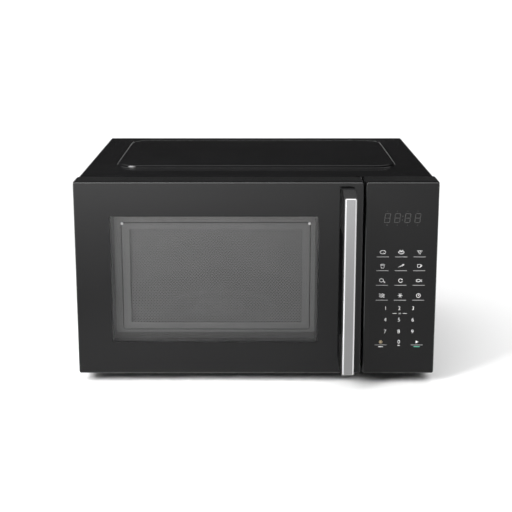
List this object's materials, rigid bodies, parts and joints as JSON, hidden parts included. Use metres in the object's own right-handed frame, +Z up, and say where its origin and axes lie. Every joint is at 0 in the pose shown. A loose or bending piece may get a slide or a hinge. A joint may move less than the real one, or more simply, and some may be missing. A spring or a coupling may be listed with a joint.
{
  "type": "microwave oven",
  "caption": "Countertop microwave oven with a side-hung window door, a bar handle, a touch control panel and a glass turntable.",
  "frame": {"origin": "centre of the footprint, on the surface the feet stand on", "axes": "+X to the right across the front, +Y from the door to the back, +Z up"},
  "size_m": [0.483, 0.431, 0.282],
  "materials": {
    "case_enamel": "semi-gloss black enamel",
    "door_glass": "polished, dark tint",
    "panel_glass": "polished, printed black behind",
    "black_plastic": "fine grain",
    "handle_plastic": "satin",
    "handle_trim": "satin silver",
    "cavity_enamel": "speckled grey enamel",
    "zinc_steel": "galvanised",
    "door_steel": "black enamel",
    "screen_steel": "perforated, matt grey",
    "clear_film": "clear sheet",
    "clear_glass": "toughened clear glass",
    "white_plastic": "natural",
    "mica": "pressed mica sheet",
    "magnetron_metal": "mill",
    "core_steel": "varnished laminations",
    "winding": "enamelled copper wire",
    "capacitor_can": "drawn can",
    "circuit_board": "green solder mask",
    "foot_rubber": "matt"
  },
  "bodies": {
    "oven": {"outer_case": "case_enamel", "base_plate": "zinc_steel", "rear_panel": "zinc_steel", "cord_gland": "foot_rubber", "foot_front_left": "foot_rubber", "foot_front_right": "foot_rubber", "foot_rear_left": "foot_rubber", "foot_rear_right": "foot_rubber", "cavity_liner": "cavity_enamel", "cavity_front_plate": "cavity_enamel", "waveguide_cover": "mica", "cavity_lamp": "white_plastic", "turntable_motor": "zinc_steel", "hinge_bottom": "zinc_steel", "hinge_top": "zinc_steel", "interlock_bracket": "white_plastic", "switch_secondary": "black_plastic", "switch_primary": "black_plastic", "switch_monitor": "black_plastic", "panel_glass": "panel_glass", "panel_housing": "black_plastic", "display_module": "black_plastic", "control_board": "circuit_board", "waveguide": "zinc_steel", "magnetron_yoke": "zinc_steel", "magnetron_tube": "magnetron_metal", "magnetron_filter_box": "zinc_steel", "thermal_cutout": "black_plastic", "transformer_core": "core_steel", "primary_coil": "winding", "secondary_coil": "winding", "hv_capacitor": "capacitor_can", "capacitor_clamp": "zinc_steel", "hv_diode": "black_plastic", "noise_filter_board": "circuit_board", "fan_shroud": "black_plastic", "fan_motor": "core_steel"},
    "door": {"door_glass": "door_glass", "door_frame": "black_plastic", "door_plate": "door_steel", "mesh_screen": "screen_steel", "inner_window": "clear_film", "choke_cover": "black_plastic", "latch_spring": "zinc_steel", "handle_body": "handle_plastic", "handle_trim": "handle_trim", "handle_screw_top": "zinc_steel", "handle_screw_bottom": "zinc_steel"},
    "latch": {"latch_hook": "white_plastic"},
    "turntable_drive": {"turntable_coupler": "white_plastic", "drive_shaft": "zinc_steel"},
    "tray": {"glass_tray": "clear_glass"},
    "roller_carrier": {"roller_ring": "white_plastic"},
    "wheel_1": {"roller_wheel_1": "white_plastic"},
    "wheel_2": {"roller_wheel_2": "white_plastic"},
    "wheel_3": {"roller_wheel_3": "white_plastic"},
    "secondary_button": {"plunger_secondary": "white_plastic"},
    "primary_button": {"plunger_primary": "white_plastic"},
    "monitor_button": {"plunger_monitor": "white_plastic"},
    "fan": {"fan_impeller": "white_plastic"}
  },
  "joints": [
    {"name": "door_swing", "type": "hinge", "parent": "oven", "child": "door", "pos_m": [-0.2315, -0.1455, 0.14625], "axis": [0, 0, -1], "range_deg": [0, 100]},
    {"name": "latch_lift", "type": "slide", "parent": "door", "child": "latch", "axis": [0, 0, 1], "range_m": [0, 0.004], "stiffness_N_per_m": 400, "springref_m": -0.003, "deforming": ["latch_spring"]},
    {"name": "turntable_turn", "type": "hinge", "parent": "oven", "child": "turntable_drive", "pos_m": [-0.056, 0.0325, 0.04], "axis": [0, 0, 1], "continuous": true},
    {"name": "tray_lift", "type": "slide", "parent": "turntable_drive", "child": "tray", "axis": [0, 0, 1], "range_m": [0, 0.04]},
    {"name": "carrier_turn", "type": "hinge", "parent": "oven", "child": "roller_carrier", "pos_m": [-0.056, 0.0325, 0.0443], "axis": [0, 0, 1], "continuous": true},
    {"name": "wheel_1_spin", "type": "hinge", "parent": "roller_carrier", "child": "wheel_1", "pos_m": [-0.056, 0.1225, 0.0443], "axis": [0, 1, 0], "continuous": true},
    {"name": "wheel_2_spin", "type": "hinge", "parent": "roller_carrier", "child": "wheel_2", "pos_m": [-0.13394, -0.0125, 0.0443], "axis": [-0.866, -0.5, 0], "continuous": true},
    {"name": "wheel_3_spin", "type": "hinge", "parent": "roller_carrier", "child": "wheel_3", "pos_m": [0.02194, -0.0125, 0.0443], "axis": [0.866, -0.5, 0], "continuous": true},
    {"name": "secondary_press", "type": "slide", "parent": "oven", "child": "secondary_button", "axis": [0, 1, 0], "range_m": [0, 0.0015], "stiffness_N_per_m": 300, "springref_m": -0.001},
    {"name": "primary_press", "type": "slide", "parent": "oven", "child": "primary_button", "axis": [0, 1, 0], "range_m": [0, 0.0015], "stiffness_N_per_m": 300, "springref_m": -0.001},
    {"name": "monitor_press", "type": "slide", "parent": "oven", "child": "monitor_button", "axis": [0, 1, 0], "range_m": [0, 0.0015], "stiffness_N_per_m": 300, "springref_m": -0.001},
    {"name": "fan_spin", "type": "hinge", "parent": "oven", "child": "fan", "pos_m": [0.175, 0.1515, 0.152], "axis": [0, 1, 0], "continuous": true}
  ],
  "couplings": [
    {"joint": "carrier_turn", "follows": "turntable_turn", "ratio": 0.5},
    {"joint": "wheel_1_spin", "follows": "turntable_turn", "ratio": -5.625},
    {"joint": "wheel_2_spin", "follows": "turntable_turn", "ratio": -5.625},
    {"joint": "wheel_3_spin", "follows": "turntable_turn", "ratio": -5.625}
  ]
}
